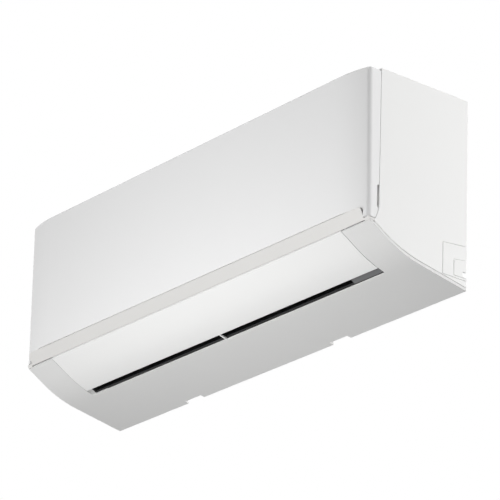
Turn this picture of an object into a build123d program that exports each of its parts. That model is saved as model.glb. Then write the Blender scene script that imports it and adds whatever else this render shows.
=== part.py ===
"""Wall-mounted mini split indoor unit, in millimetres.

+X runs to the right as seen from the room, +Y into the wall and +Z up. The origin lies on the wall,
at the centre of the mounting plate's four screws. Depths are measured forward from the wall and
heights up from the lower rear edge, so most outlines are drawn on side_plane(x) as
(-depth, height) pairs.
"""

from build123d import *
from math import cos, hypot, radians, sin, tan
import os

# Overall size
WIDTH = 802.0
HEIGHT = 294.0
DEPTH = 195.0  # wall to the flat of the front panel
SCREW_CENTRE_UP = 147.0  # height of the wall screws' centre above the lower rear edge

# Moulded walls and gaps
WALL = 2.5
SEAM = 0.8  # visible gap between outer pieces
FIT = 0.3  # gap between a piece and its seat
RUN = 0.05  # radial clearance of a turning pin
REAR_GAP = 1.0  # casing to wall

# Curved underside: a shallow rear slope, a wide knee and a steeper front slope
KNEE_BACK = 123.0
KNEE_UP = 22.0
KNEE_RADIUS = 190.0
LIP_BACK = DEPTH - 14.0
LIP_UP = 56.8
SKIN = 2.8  # thickness of the underside, measured upright
FLANGE = 4.5  # side flange of the bottom panel

# Front panel
PANEL_DROP = 2.0  # panel top below casing top
PANEL_WALL = 2.8
PANEL_REAR = DEPTH - 29.5  # depth of the side returns' rear edge
PANEL_FOOT_UP = 77.0
PANEL_LEAN = 3.0  # how much further back the foot stands than the top
ROLL_WIDTH = 56.0  # over which the front rolls back towards each end
ROLL_DEPTH = 8.6
ROLL_CORNER = 7.0
TOP_ROUND = 5.0
EAR_WIDTH = 10.0
EAR_UP = 62.5
EAR_BACK = PANEL_REAR + 6.0
SLANT_UP = 79.0
FINGER_UP = 79.5
FINGER_HEIGHT = 34.0
FINGER_DEPTH = 3.4
HINGE_ROUND = 4.5  # panel's rear top edge, round about the hinge
HINGE_PIN_R = 2.0

# Trim strip
TRIM_WALL = 1.6
TRIM_TOP_UP = 76.3
TRIM_TOP_BACK = DEPTH - 3.6
TRIM_REAR = DEPTH - 22.0

# Louver and outlet
LOUVER_END_GAP = 61.0  # louver's end to the casing's outer side
LOUVER_THICK = 3.2
LOUVER_FRONT = LIP_BACK - 0.2
LOUVER_REAR = 112.6
SLOT_REAR = 98.0
PIVOT_BACK = LOUVER_FRONT - 14.3
PIVOT_RISE = 12.4  # louver's axis above the underside
PIVOT_R = 2.5
BOSS_R = 4.6
BRIDGE_X = -15.0
DUCT_LEFT_GAP = 66.0  # duct's left end to the casing's outer side
DUCT_RIGHT_GAP = 129.0  # the same at the right, with the motor and control box between them

# Cross-flow fan
FAN_BACK = 84.0
FAN_UP = 130.0
FAN_R = 44.0
FAN_INNER_R = 33.0
FAN_BLADES = 24
FAN_DISCS = 7
FAN_END_GAP = 7.0
SHAFT_R = 4.0
BUSH_R = 11.0

# Fan motor
MOTOR_R = 43.0
MOTOR_LENGTH = 46.0
MOTOR_GAP = 10.0  # from the fan chamber's end wall

# Coil
COIL_THICK = 21.0
TUBE_R = 3.5
TUBE_WALL = 0.6
TUBE_PITCH = 21.0
ROW_PITCH = 11.0
COIL_END_GAP = 9.0  # duct wall to fins
PLATE_THICK = 1.2

# Vertical vanes
VANES_PER_GROUP = 6
VANE_END_GAP = 15.5
VANE_FRONT = 24.0
VANE_BACK = 8.0
VANE_HEIGHT = 40.0
VANE_THICK = 1.8
VANE_RISE = 3.2
VANE_PIN_R = 1.5
LINK_ARM = 15.0
LINK_WIDTH = 8.0
LINK_THICK = 2.0

# Filters
FILTER_THICK = 4.0
FILTER_FOOT_BACK = DEPTH - 19.0
FILTER_HEAD_BACK = DEPTH - 41.0
FILTER_FOOT_UP = 102.0
FILTER_HEAD_UP = HEIGHT - 3.0
FILTER_BORDER = 8.0
FILTER_RIB = 2.0
FILTER_GAP = 6.0  # between the two filters
FILTER_SLOT_PLAY = 1.5

# Mounting plate
PLATE_SHEET = 1.2
PLATE_WIDTH = 460.0
PLATE_LOW = 40.0
PLATE_HIGH = HEIGHT - 32.0
SCREW_SPAN_X = 400.0
SCREW_SPAN_Z = 160.0
SCREW_HOLE_R = 2.75
HOOK_X = 190.0
HOOK_WIDTH = 40.0
HOOK_LIP = 8.0
CATCH_LEFT_X = -208.0
CATCH_RIGHT_X = 134.0
CATCH_WIDTH = 24.0
NOTCH_WIDTH = 38.0
NOTCH_DEPTH = 7.0

# Chassis
BACK_WALL = 6.0  # wall to the chassis's rear face
SHELF_UP = 64.0  # top of the rear pipe channel
GUTTER_UP = 187.0

# Pipes
GAS_R = 4.76
LIQUID_R = 3.18
GAS_NUT_R = 11.0
LIQUID_NUT_R = 8.5
GAS_THREAD_R = 7.94
LIQUID_THREAD_R = 5.56
NUT_LENGTH = 20.0
NUT_BORE = 12.0
GAS_BACK = 18.0
LIQUID_BACK = 34.0
GAS_UP = 44.0
LIQUID_UP = 27.0
PIPE_DROP_GAP = 39.0  # where the pipes come down, from the casing's outer side
PIPE_END_X = -110.0

# Electrics
BOX_SIDE_GAP = 7.0  # control box to the casing's outer side
BOX_WIDTH = 56.5
BOX_FRONT = DEPTH - 23.0
BOX_BACK = 48.0
BOX_LOW = 106.0
BOX_HIGH = HEIGHT - 22.0
BOX_WALL = 2.0
BUTTON_R = 4.0
BUTTON_FROM_BOX = 34.5
BUTTON_UP = 140.0
BUTTON_TRAVEL = 1.5

Z_LOW = -SCREW_CENTRE_UP
HALF = WIDTH / 2
CASING_FRONT = PANEL_REAR - SEAM
PANEL_TOP = HEIGHT - PANEL_DROP
HINGE_BACK = PANEL_REAR + HINGE_ROUND
HINGE_UP = PANEL_TOP - HINGE_ROUND
PANEL_OPENS = 60.0  # degrees
FRONT_SLOPE = (LIP_UP - KNEE_UP) / (LIP_BACK - KNEE_BACK)
PIVOT_UP = LIP_UP - (LIP_BACK - PIVOT_BACK) * FRONT_SLOPE + PIVOT_RISE
LOUVER_HALF = HALF - LOUVER_END_GAP
DUCT_LEFT = -HALF + DUCT_LEFT_GAP
DUCT_RIGHT = HALF - DUCT_RIGHT_GAP
DUCT_CENTRE = (DUCT_LEFT + DUCT_RIGHT) / 2
VANE_PITCH = (DUCT_RIGHT - DUCT_LEFT - 2 * VANE_END_GAP) / (2 * VANES_PER_GROUP)
PIPE_DROP_X = HALF - PIPE_DROP_GAP
BOX_RIGHT = HALF - BOX_SIDE_GAP
BOX_LEFT = BOX_RIGHT - BOX_WIDTH
BUTTON_X = BOX_LEFT - BUTTON_FROM_BOX
FRAME_BACK = DEPTH - 15.0  # front face of the inner frame behind the panel
FRAME_REAR = FRAME_BACK - WALL
CHEEK_X = LOUVER_HALF + 3.0
CHEEK_THICK = 3.0

os.makedirs("parts", exist_ok=True)


# ---------------------------------------------------------------- helpers

def side_plane(x):
    """Plane across the unit at x: its first axis is +Y and its second the height above the bottom."""
    return Plane(origin=(x, 0, Z_LOW), x_dir=(0, 1, 0), z_dir=(1, 0, 0))


def front_plane(depth):
    """Plane facing the room at a depth from the wall, drawn in X and height."""
    return Plane(origin=(0, -depth, Z_LOW), x_dir=(1, 0, 0), z_dir=(0, -1, 0))


def top_plane(height):
    """Level plane at a height, drawn in X and Y."""
    return Plane(origin=(0, 0, Z_LOW + height), x_dir=(1, 0, 0), z_dir=(0, 0, 1))


def prism(x0, x1, points, mode=Mode.ADD):
    """Prism between two stations along X, from its outline in (-depth, height)."""
    with BuildSketch(side_plane(x0)) as outline:
        with BuildLine():
            Polyline(*points, close=True)
        make_face()
    extrude(outline.sketch, amount=x1 - x0, mode=mode)


def rod(x0, x1, back, up, radius, mode=Mode.ADD):
    """Cylinder along X."""
    with BuildSketch(side_plane(x0)) as outline:
        with Locations((-back, up)):
            Circle(radius)
    extrude(outline.sketch, amount=x1 - x0, mode=mode)


def block(x0, x1, back0, back1, up0, up1, mode=Mode.ADD):
    """Box between two stations, two depths and two heights."""
    prism(x0, x1, [(-back0, up0), (-back1, up0), (-back1, up1), (-back0, up1)], mode)


def underside(lift):
    """The underside's curve, raised by lift, from the wall to the front lip."""
    return FilletPolyline(
        (0, lift), (-KNEE_BACK, KNEE_UP + lift), (-LIP_BACK, LIP_UP + lift), radius=KNEE_RADIUS
    )


def skin(x0, x1, low, high, back0, back1, mode=Mode.ADD):
    """Curved plate that follows the underside, between two lifts and two depths."""
    with BuildSketch(side_plane(x0)) as outline:
        with BuildLine():
            bottom = underside(low)
            top = underside(high)
            Line(bottom @ 0, top @ 0)
            Line(bottom @ 1, top @ 1)
        make_face()
        with Locations((-(back0 + back1) / 2, HEIGHT / 2)):
            Rectangle(back1 - back0, 2 * HEIGHT, mode=Mode.INTERSECT)
    extrude(outline.sketch, amount=x1 - x0, mode=mode)


def under_front(back):
    """Height of the underside's steep front slope at a depth."""
    return LIP_UP - (LIP_BACK - back) * FRONT_SLOPE


def save(piece, label):
    """Name a finished piece and write it."""
    piece.part.label = label
    export_step(piece.part, f"parts/{label}.step")


# ---------------------------------------------------------------- front panel

def plan_outline(inset, set_back=0.0):
    """Plan of the front, inset by a wall: flat middle, rolled ends and small corners."""
    edge = HALF - inset
    front = -DEPTH + inset + set_back
    roll = HALF - ROLL_WIDTH
    with BuildSketch(top_plane(PANEL_TOP - inset)) as plan:
        with BuildLine():
            Line((-roll, front), (roll, front))
            TangentArc((roll, front), (edge, front + ROLL_DEPTH), tangent=(1, 0))
            TangentArc((-roll, front), (-edge, front + ROLL_DEPTH), tangent=(-1, 0))
            Polyline((edge, front + ROLL_DEPTH), (edge, 0), (-edge, 0), (-edge, front + ROLL_DEPTH))
        make_face()
        corners = plan.vertices().filter_by(lambda v: abs(v.Y - (front + ROLL_DEPTH)) < 0.01)
        fillet(corners, radius=max(ROLL_CORNER - inset, 1.0))
    return plan.sketch


def lean_direction():
    """Straight down along the panel's front, which stands further back at the foot."""
    return (0, PANEL_LEAN / (PANEL_TOP - PANEL_FOOT_UP), -1)


def front_edges(part, inset):
    """Top edges of a panel block, without the one at the wall."""
    return part.edges().group_by(Axis.Z)[-1].filter_by(lambda e: e.center().Y < -inset - 1)


with BuildPart() as panel_core:
    extrude(plan_outline(PANEL_WALL), amount=PANEL_TOP, dir=lean_direction())
    fillet(front_edges(panel_core, PANEL_WALL), radius=TOP_ROUND - PANEL_WALL)

with BuildPart() as front_panel:
    extrude(plan_outline(0), amount=PANEL_TOP - EAR_UP, dir=lean_direction())
    fillet(front_edges(front_panel, 0), radius=TOP_ROUND)
    add(panel_core.part, mode=Mode.SUBTRACT)
    block(-WIDTH, WIDTH, -10, PANEL_REAR, 0, HEIGHT + 10, mode=Mode.SUBTRACT)
    # Rear top edge, round about the hinge so that it clears the casing as the panel opens
    with BuildSketch(side_plane(-WIDTH)) as rear_corner:
        with Locations((-HINGE_BACK + HINGE_ROUND, HINGE_UP + HINGE_ROUND)):
            Rectangle(2 * HINGE_ROUND, 2 * HINGE_ROUND)
        with Locations((-HINGE_BACK, HINGE_UP)):
            Circle(HINGE_ROUND, mode=Mode.SUBTRACT)
    extrude(rear_corner.sketch, amount=2 * WIDTH, mode=Mode.SUBTRACT)
    # Straight foot between the two corner ears
    with BuildSketch(front_plane(0)) as foot:
        with Locations((0, 0)):
            Rectangle(2 * (HALF - EAR_WIDTH), 2 * PANEL_FOOT_UP)
        fillet(foot.vertices().group_by(Axis.Z)[-1], radius=EAR_WIDTH / 2)
    extrude(foot.sketch, amount=2 * DEPTH, mode=Mode.SUBTRACT)
    # Slanted rear corner of each ear
    prism(-WIDTH, WIDTH, [(-PANEL_REAR + 5, SLANT_UP), (-PANEL_REAR, SLANT_UP), (-EAR_BACK, EAR_UP),
                          (-EAR_BACK, EAR_UP - 5), (-PANEL_REAR + 5, EAR_UP - 5)], mode=Mode.SUBTRACT)
    # Finger slots in the side returns
    block(-WIDTH, WIDTH, PANEL_REAR - 5, PANEL_REAR + FINGER_DEPTH, FINGER_UP,
          FINGER_UP + FINGER_HEIGHT, mode=Mode.SUBTRACT)
    # Hinge pins inside the returns
    for side in (-1, 1):
        rod(side * (HALF - PANEL_WALL - 4.5), side * (HALF - PANEL_WALL / 2), HINGE_BACK, HINGE_UP,
            HINGE_PIN_R)
    # Stiffening ribs behind the face
    for x in (-280, -140, 0, 140, 280):
        block(x - 0.75, x + 0.75, DEPTH - 9, DEPTH - 1.5 - PANEL_LEAN, PANEL_FOOT_UP + 12, PANEL_TOP - 16)
save(front_panel, "front_panel")

# Space taken by the leaning front panel, kept free by the frame behind it
with BuildPart() as panel_room:
    block(-WIDTH, WIDTH, TRIM_REAR + 1, DEPTH + 20, 0, PANEL_TOP)
    extrude(plan_outline(PANEL_WALL, PANEL_LEAN + 0.6), amount=-PANEL_TOP, mode=Mode.SUBTRACT)

# ---------------------------------------------------------------- trim strip

def trim_block(inset, low, high, rear):
    """Wedge behind the trim's sloping face, cut to the panel's plan."""
    foot_back = LIP_BACK - inset
    head_back = TRIM_TOP_BACK - inset
    slope = (head_back - foot_back) / (TRIM_TOP_UP - LIP_UP)
    with BuildPart(mode=Mode.PRIVATE) as wedge:
        extrude(plan_outline(inset), amount=-PANEL_TOP)
        with BuildSketch(side_plane(-HALF)) as face:
            with BuildLine():
                Polyline((-rear, low), (-(foot_back + (low - LIP_UP) * slope), low),
                         (-(foot_back + (high - LIP_UP) * slope), high), (-rear, high), close=True)
            make_face()
        extrude(face.sketch, amount=WIDTH, mode=Mode.INTERSECT)
    return wedge.part


with BuildPart() as trim_strip:
    add(trim_block(0, LIP_UP, TRIM_TOP_UP, TRIM_REAR))
    add(trim_block(TRIM_WALL, LIP_UP - 10, TRIM_TOP_UP - TRIM_WALL, TRIM_REAR - 10), mode=Mode.SUBTRACT)
    # Short top lip, and room for the panel's corner ears
    block(-HALF + EAR_WIDTH, HALF - EAR_WIDTH, 0, FRAME_BACK + 2, LIP_UP, HEIGHT, mode=Mode.SUBTRACT)
    with BuildSketch(front_plane(0)) as trim_face:
        Rectangle(2 * (HALF - EAR_WIDTH - SEAM), 2 * TRIM_TOP_UP)
        fillet(trim_face.vertices().group_by(Axis.Z)[-1], radius=EAR_WIDTH / 2 - SEAM)
        Rectangle(WIDTH, 2 * (EAR_UP - SEAM))
    extrude(trim_face.sketch, amount=2 * DEPTH, mode=Mode.INTERSECT)
    # Clear of the bottom panel's cheeks
    skin(-WIDTH, WIDTH, -20, SKIN + FIT, 0, LIP_BACK - SEAM + FIT, mode=Mode.SUBTRACT)
save(trim_strip, "trim_strip")

# ---------------------------------------------------------------- bottom panel

with BuildPart() as bottom_panel:
    skin(-HALF, HALF, 0, SKIN, REAR_GAP, LIP_BACK - SEAM)
    for side in (-1, 1):
        skin(side * HALF, side * (HALF - WALL), 0, FLANGE, REAR_GAP, TRIM_REAR - FIT)
    with BuildSketch(top_plane(-10)) as opening:
        with Locations((0, -(SLOT_REAR + LIP_BACK + 20) / 2)):
            Rectangle(2 * (LOUVER_HALF + SEAM), LIP_BACK + 20 - SLOT_REAR)
        fillet(opening.vertices().group_by(Axis.Y)[-1], radius=6)
    extrude(opening.sketch, amount=HEIGHT / 2, mode=Mode.SUBTRACT)
    # Bridge across the outlet slot at mid length
    skin(BRIDGE_X - 1.5, BRIDGE_X + 1.5, 0.6, SKIN, SLOT_REAR - 1, LOUVER_REAR - SEAM)
    # Finger notches over the mounting plate's catches
    for x in (CATCH_LEFT_X, CATCH_RIGHT_X):
        block(x - NOTCH_WIDTH / 2, x + NOTCH_WIDTH / 2, -5, REAR_GAP + NOTCH_DEPTH, -5, 10,
              mode=Mode.SUBTRACT)
save(bottom_panel, "bottom_panel")

# ---------------------------------------------------------------- filters

FILTER_RUN = FILTER_HEAD_UP - FILTER_FOOT_UP
FILTER_SHIFT = FILTER_FOOT_BACK - FILTER_HEAD_BACK
FILTER_LENGTH = hypot(FILTER_RUN, FILTER_SHIFT)
FILTER_COS = FILTER_RUN / FILTER_LENGTH
FILTER_WIDTH = (DUCT_RIGHT - DUCT_LEFT - FILTER_GAP) / 2
FILTER_PLANE = Plane(
    origin=(0, -FILTER_FOOT_BACK, Z_LOW + FILTER_FOOT_UP),
    x_dir=(1, 0, 0),
    z_dir=(0, -FILTER_COS, FILTER_SHIFT / FILTER_LENGTH),
)


def filter_back(up, offset=0.0):
    """Depth of the filter's middle plane at a height, moved forward by offset."""
    return FILTER_FOOT_BACK - (up - FILTER_FOOT_UP) * FILTER_SHIFT / FILTER_RUN + offset / FILTER_COS


def make_filter(centre_x):
    """Filter: a ribbed frame with a thin net in its middle plane."""
    plane = FILTER_PLANE.offset(-FILTER_THICK / 2)
    cells_x, cells_y = 5, 4
    cell_x = (FILTER_WIDTH - 2 * FILTER_BORDER + FILTER_RIB) / cells_x
    cell_y = (FILTER_LENGTH - 2 * FILTER_BORDER + FILTER_RIB) / cells_y
    with BuildPart(mode=Mode.PRIVATE) as result:
        with BuildSketch(plane) as frame:
            with Locations((centre_x, FILTER_LENGTH / 2)):
                Rectangle(FILTER_WIDTH, FILTER_LENGTH)
                with GridLocations(cell_x, cell_y, cells_x, cells_y):
                    RectangleRounded(cell_x - FILTER_RIB, cell_y - FILTER_RIB, 3, mode=Mode.SUBTRACT)
        extrude(frame.sketch, amount=FILTER_THICK)
        with BuildSketch(FILTER_PLANE.offset(-0.3)) as net:
            with Locations((centre_x, FILTER_LENGTH / 2)):
                Rectangle(FILTER_WIDTH - FILTER_BORDER, FILTER_LENGTH - FILTER_BORDER)
        extrude(net.sketch, amount=0.6)
    return result


FILTER_X = (FILTER_WIDTH + FILTER_GAP) / 2
filter_left = make_filter(DUCT_CENTRE - FILTER_X)
save(filter_left, "filter_left")
filter_right = make_filter(DUCT_CENTRE + FILTER_X)
save(filter_right, "filter_right")

# ---------------------------------------------------------------- casing

TOP_LOW = HEIGHT - WALL
GRILLE_HALF = HALF - 29.0
GRILLE_BACK = 14.0
GRILLE_FRONT = 140.0
LEDGE = 3.0
SIDE_FLANGE_X = HALF - PANEL_WALL - 0.5
SHELF_TOP = TRIM_TOP_UP + FIT + 2.6
FILTER_LEDGE = FILTER_FOOT_UP - FIT - FILTER_THICK * FILTER_SHIFT / FILTER_LENGTH / 2
WINDOW_LEFT = DUCT_LEFT - 3.0
WINDOW_RIGHT = DUCT_RIGHT + 3.0
SCREW_END_GAP = 33.5  # from the duct's ends
CASING_SCREW_X = (DUCT_LEFT + SCREW_END_GAP, DUCT_CENTRE, DUCT_RIGHT - SCREW_END_GAP)
CASING_SCREW_UP = 91.0
SCREW_R = 2.0
SCREW_HEAD_R = 3.9
TURN_REACH = 12.0


def filter_bar(x0, x1, ahead, behind, up0, up1):
    """Bar that follows the filters' slope, from ahead of their middle plane to behind it."""
    prism(x0, x1, [(-filter_back(up0, ahead), up0), (-filter_back(up0, -behind), up0),
                   (-filter_back(up1, -behind), up1), (-filter_back(up1, ahead), up1)])


def casing_side(x0, x1):
    """Side wall: follows the underside's flange below and the front panel's seam ahead."""
    lift = FLANGE + SEAM
    nose = TRIM_REAR - FIT
    nose_up = EAR_UP - SEAM
    with BuildSketch(side_plane(x0)) as outline:
        with BuildLine():
            low = underside(lift)
            Polyline(low @ 1, (-LIP_BACK - 5, LIP_UP + lift), (-LIP_BACK - 5, HEIGHT), (0, HEIGHT), low @ 0)
        make_face()
        with BuildLine():
            Polyline((-CASING_FRONT, HEIGHT + 5), (-CASING_FRONT, SLANT_UP), (-EAR_BACK + SEAM, EAR_UP),
                     (-EAR_BACK + SEAM, nose_up), (-nose, nose_up), (-nose, 0), (-DEPTH - 5, 0),
                     (-DEPTH - 5, HEIGHT + 5), close=True)
        make_face(mode=Mode.SUBTRACT)
        with Locations((0, HEIGHT / 2)):
            Rectangle(2 * REAR_GAP, 2 * HEIGHT, mode=Mode.SUBTRACT)
    extrude(outline.sketch, amount=x1 - x0)


def knockout_groove(x, back0, back1, up0, up1, rise, bite):
    """Thin line of a pipe knock-out in a side wall's outer face, open towards the wall."""
    line = 0.9
    outer = [(0, up0), (-back1, up0), (-back1, up1), (0, up1 + rise)]
    inner = [(0, up0 + line), (-back1 + line, up0 + line), (-back1 + line, up1 - line),
             (0, up1 + rise - line)]
    with BuildSketch(side_plane(x)) as groove:
        with BuildLine():
            Polyline(*outer, close=True)
        make_face()
        with BuildLine():
            Polyline(*inner, close=True)
        make_face(mode=Mode.SUBTRACT)
        with Locations((-back0 / 2, HEIGHT / 2)):
            Rectangle(back0, HEIGHT, mode=Mode.SUBTRACT)
    extrude(groove.sketch, amount=bite, both=True, mode=Mode.SUBTRACT)


with BuildPart() as casing:
    for side in (-1, 1):
        casing_side(side * HALF, side * (HALF - WALL))
    # Top deck, with the intake opening and the filter slots
    block(-HALF, HALF, REAR_GAP, CASING_FRONT, TOP_LOW, HEIGHT)
    block(-GRILLE_HALF, GRILLE_HALF, GRILLE_BACK, GRILLE_FRONT, TOP_LOW - 1, HEIGHT + 1, mode=Mode.SUBTRACT)
    slot_half = FILTER_THICK / 2 + FILTER_SLOT_PLAY
    slot_mid = filter_back(HEIGHT - WALL / 2)
    for side in (-1, 1):
        x = DUCT_CENTRE + side * FILTER_X
        half = FILTER_WIDTH / 2 + 0.5
        block(x - half, x + half, slot_mid - slot_half, slot_mid + slot_half, TOP_LOW - 1, HEIGHT + 1,
              mode=Mode.SUBTRACT)
    # Ledge under the grille's edges
    for back0, back1 in ((GRILLE_BACK - 1, GRILLE_BACK + LEDGE), (GRILLE_FRONT - LEDGE, GRILLE_FRONT + 1)):
        block(-GRILLE_HALF - 2, GRILLE_HALF + 2, back0, back1, TOP_LOW - 1.5, TOP_LOW)
    # Inner side flanges with the hinge cradles
    for side in (-1, 1):
        x0 = side * (SIDE_FLANGE_X - 2.2)
        x1 = side * SIDE_FLANGE_X
        block(x0, x1, CASING_FRONT - 5, FRAME_BACK + 7, TRIM_TOP_UP + FIT, HINGE_UP)
        rod(x0, x1, HINGE_BACK, HINGE_UP, HINGE_PIN_R + RUN, mode=Mode.SUBTRACT)
        block(side * (SIDE_FLANGE_X - 0.1), side * (HALF - WALL / 2), CASING_FRONT - 5, CASING_FRONT - 1,
              EAR_UP, HINGE_UP)
    # Room behind the hinge for the panel's rear top edge as it turns down
    with BuildSketch(side_plane(-HALF)) as turn_room:
        with Locations((-HINGE_BACK, HINGE_UP)):
            Circle(HINGE_ROUND + FIT)
        with BuildLine():
            Polyline((-HINGE_BACK, HINGE_UP), (-HINGE_BACK + TURN_REACH, HINGE_UP + 1),
                     (-HINGE_BACK + TURN_REACH, HINGE_UP - TURN_REACH),
                     (-HINGE_BACK + TURN_REACH / tan(radians(PANEL_OPENS + 5)), HINGE_UP - TURN_REACH),
                     close=True)
        make_face(mode=Mode.INTERSECT)
    extrude(turn_room.sketch, amount=WIDTH, mode=Mode.SUBTRACT)
    # Lower beam: shelf over the trim strip, upright and filter ledge
    span = SIDE_FLANGE_X
    block(-span, span, FRAME_REAR, FRAME_BACK + 8.5, TRIM_TOP_UP + FIT, SHELF_TOP)
    block(-span, span, FRAME_REAR, FRAME_BACK, TRIM_TOP_UP + FIT, FILTER_LEDGE)
    block(WINDOW_LEFT - WALL, WINDOW_RIGHT + WALL, FILTER_FOOT_BACK - 6, FRAME_BACK,
          FILTER_LEDGE - WALL, FILTER_LEDGE)
    # Upper beam: level deck behind the hinge and riser to the top
    deck_up = HINGE_UP - HINGE_ROUND - 2.5
    block(-span, span, CASING_FRONT - WALL, FRAME_BACK, deck_up - WALL, deck_up)
    block(-span, span, CASING_FRONT - WALL, CASING_FRONT, deck_up - WALL, TOP_LOW + 1)
    # Closed panels at both ends of the filter window
    block(-span, WINDOW_LEFT, FRAME_REAR, FRAME_BACK, SHELF_TOP - 1, deck_up)
    block(WINDOW_RIGHT, span, FRAME_REAR, FRAME_BACK, SHELF_TOP - 1, deck_up)
    block(BOX_LEFT - 8, BOX_RIGHT - 6, FRAME_REAR - 5, FRAME_BACK + 5, BOX_LOW + 14, BOX_HIGH - 16,
          mode=Mode.SUBTRACT)
    for x0, x1 in ((WINDOW_LEFT - WALL, WINDOW_LEFT), (WINDOW_RIGHT, WINDOW_RIGHT + WALL)):
        prism(x0, x1, [(-FRAME_BACK, FILTER_LEDGE - 1), (-FILTER_FOOT_BACK + 6, FILTER_LEDGE - 1),
                       (-FILTER_HEAD_BACK + 6, deck_up), (-FRAME_BACK, deck_up)])
    # Filter rails at the window's sides and between the filters
    rail_low = FILTER_LEDGE - 1
    rail_gap = FILTER_THICK / 2 + 0.6
    for x0, x1 in ((WINDOW_LEFT - 1, WINDOW_LEFT + 8), (WINDOW_RIGHT - 8, WINDOW_RIGHT + 1),
                   (DUCT_CENTRE - 8, DUCT_CENTRE + 8)):
        filter_bar(x0, x1, rail_gap + 1.6, -rail_gap, rail_low, deck_up)
        filter_bar(x0, x1, -rail_gap, rail_gap + 1.6, rail_low, deck_up - 6)
    filter_bar(DUCT_CENTRE - FILTER_GAP / 2 + 0.5, DUCT_CENTRE + FILTER_GAP / 2 - 0.5, rail_gap + 1.6,
               rail_gap + 1.6, rail_low, deck_up - 6)
    # Cheeks that carry the louver's pins
    for side in (-1, 1):
        prism(side * CHEEK_X, side * (CHEEK_X + CHEEK_THICK),
              [(-FRAME_BACK, FILTER_LEDGE - 5), (-FRAME_BACK, under_front(FRAME_BACK) + 6),
               (-PIVOT_BACK + 10, under_front(PIVOT_BACK - 10) + SKIN + 0.6),
               (-PIVOT_BACK + 10, SHELF_TOP - 3), (-FRAME_REAR, FILTER_LEDGE - 5)])
        rod(side * (CHEEK_X - 1), side * (CHEEK_X + CHEEK_THICK + 1), PIVOT_BACK, PIVOT_UP,
            PIVOT_R + RUN, mode=Mode.SUBTRACT)
    add(panel_room.part, mode=Mode.SUBTRACT)
    # Screw holes in the lower beam, button hole, pipe knock-outs
    with BuildSketch(front_plane(FRAME_BACK + 1)) as holes:
        with Locations(*[(x, CASING_SCREW_UP) for x in CASING_SCREW_X]):
            Circle(SCREW_R + 0.2)
    extrude(holes.sketch, amount=-2 * WALL - 2, mode=Mode.SUBTRACT)
    with BuildSketch(front_plane(FRAME_BACK + 1)) as button_hole:
        with Locations((BUTTON_X, BUTTON_UP)):
            Circle(BUTTON_R + RUN)
    extrude(button_hole.sketch, amount=-2 * WALL - 2, mode=Mode.SUBTRACT)
    for side in (-1, 1):
        knockout_groove(side * HALF, REAR_GAP, 46.0, 14.5, 63.5, 4.5, 1.2)
        knockout_groove(side * HALF, REAR_GAP, 25.0, 18.0, 43.0, 3.5, 1.2)
        block(side * (HALF - WALL - 1), side * (HALF + 1), -5, 8.0, 20.0, 28.0, mode=Mode.SUBTRACT)
save(casing, "casing")

with BuildPart() as intake_grille:
    slats_x, slats_y = 12, 11
    with BuildSketch(top_plane(TOP_LOW)) as grille_plan:
        depth = GRILLE_FRONT - GRILLE_BACK - 2 * FIT
        width = 2 * (GRILLE_HALF - FIT)
        pitch_x = (width - 10) / slats_x
        pitch_y = (depth - 8) / slats_y
        with Locations((0, -(GRILLE_FRONT + GRILLE_BACK) / 2)):
            Rectangle(width, depth)
            with GridLocations(pitch_x, pitch_y, slats_x, slats_y):
                Rectangle(pitch_x - 3.0, pitch_y - 2.4, mode=Mode.SUBTRACT)
    extrude(grille_plan.sketch, amount=WALL)
save(intake_grille, "intake_grille")

with BuildPart() as casing_screws:
    for x in CASING_SCREW_X:
        with BuildSketch(front_plane(FRAME_BACK)) as shank:
            with Locations((x, CASING_SCREW_UP)):
                Circle(SCREW_R)
        extrude(shank.sketch, amount=-9)
        with BuildSketch(front_plane(FRAME_BACK)) as head:
            with Locations((x, CASING_SCREW_UP)):
                Circle(SCREW_HEAD_R)
        extrude(head.sketch, amount=2.2)
        with BuildSketch(front_plane(FRAME_BACK + 2.2)) as drive:
            with Locations((x, CASING_SCREW_UP)):
                Rectangle(4.6, 0.9)
                Rectangle(0.9, 4.6)
        extrude(drive.sketch, amount=-1.2, mode=Mode.SUBTRACT)
save(casing_screws, "casing_screws")

with BuildPart() as screw_caps:
    for x in CASING_SCREW_X:
        with BuildSketch(front_plane(FRAME_BACK)) as cap:
            with Locations((x, CASING_SCREW_UP)):
                Circle(SCREW_HEAD_R + 1.8)
        extrude(cap.sketch, amount=3.6)
        with BuildSketch(front_plane(FRAME_BACK)) as hollow:
            with Locations((x, CASING_SCREW_UP)):
                Circle(SCREW_HEAD_R + 0.3)
        extrude(hollow.sketch, amount=2.4, mode=Mode.SUBTRACT)
save(screw_caps, "screw_caps")

# ---------------------------------------------------------------- chassis

def volute_point(angle, radius):
    """Point of the fan scroll at an angle above the level line to the wall."""
    turn = radians(angle)
    return (-FAN_BACK + radius * cos(turn), FAN_UP + radius * sin(turn))


LIP_RISE = KNEE_UP * SLOT_REAR / KNEE_BACK + SKIN + FIT + WALL
SCROLL_TOP = volute_point(50, FAN_R + 5)
SCROLL_BACK = volute_point(0, FAN_R + 9)
SCROLL_LOW = volute_point(-50, FAN_R + 16)
SCROLL_LIP = (-SLOT_REAR - 0.5, LIP_RISE + 1.0)
GUTTER_LIP = (-FAN_BACK + 34.0, GUTTER_UP + 1.5)

scroll_arc = ThreePointArc(SCROLL_TOP, SCROLL_BACK, SCROLL_LOW)
duct_arc = TangentArc(SCROLL_LOW, SCROLL_LIP, tangent=scroll_arc % 1)
VANE_AT = 0.62
vane_foot = duct_arc @ VANE_AT
vane_flow = duct_arc % VANE_AT


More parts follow.
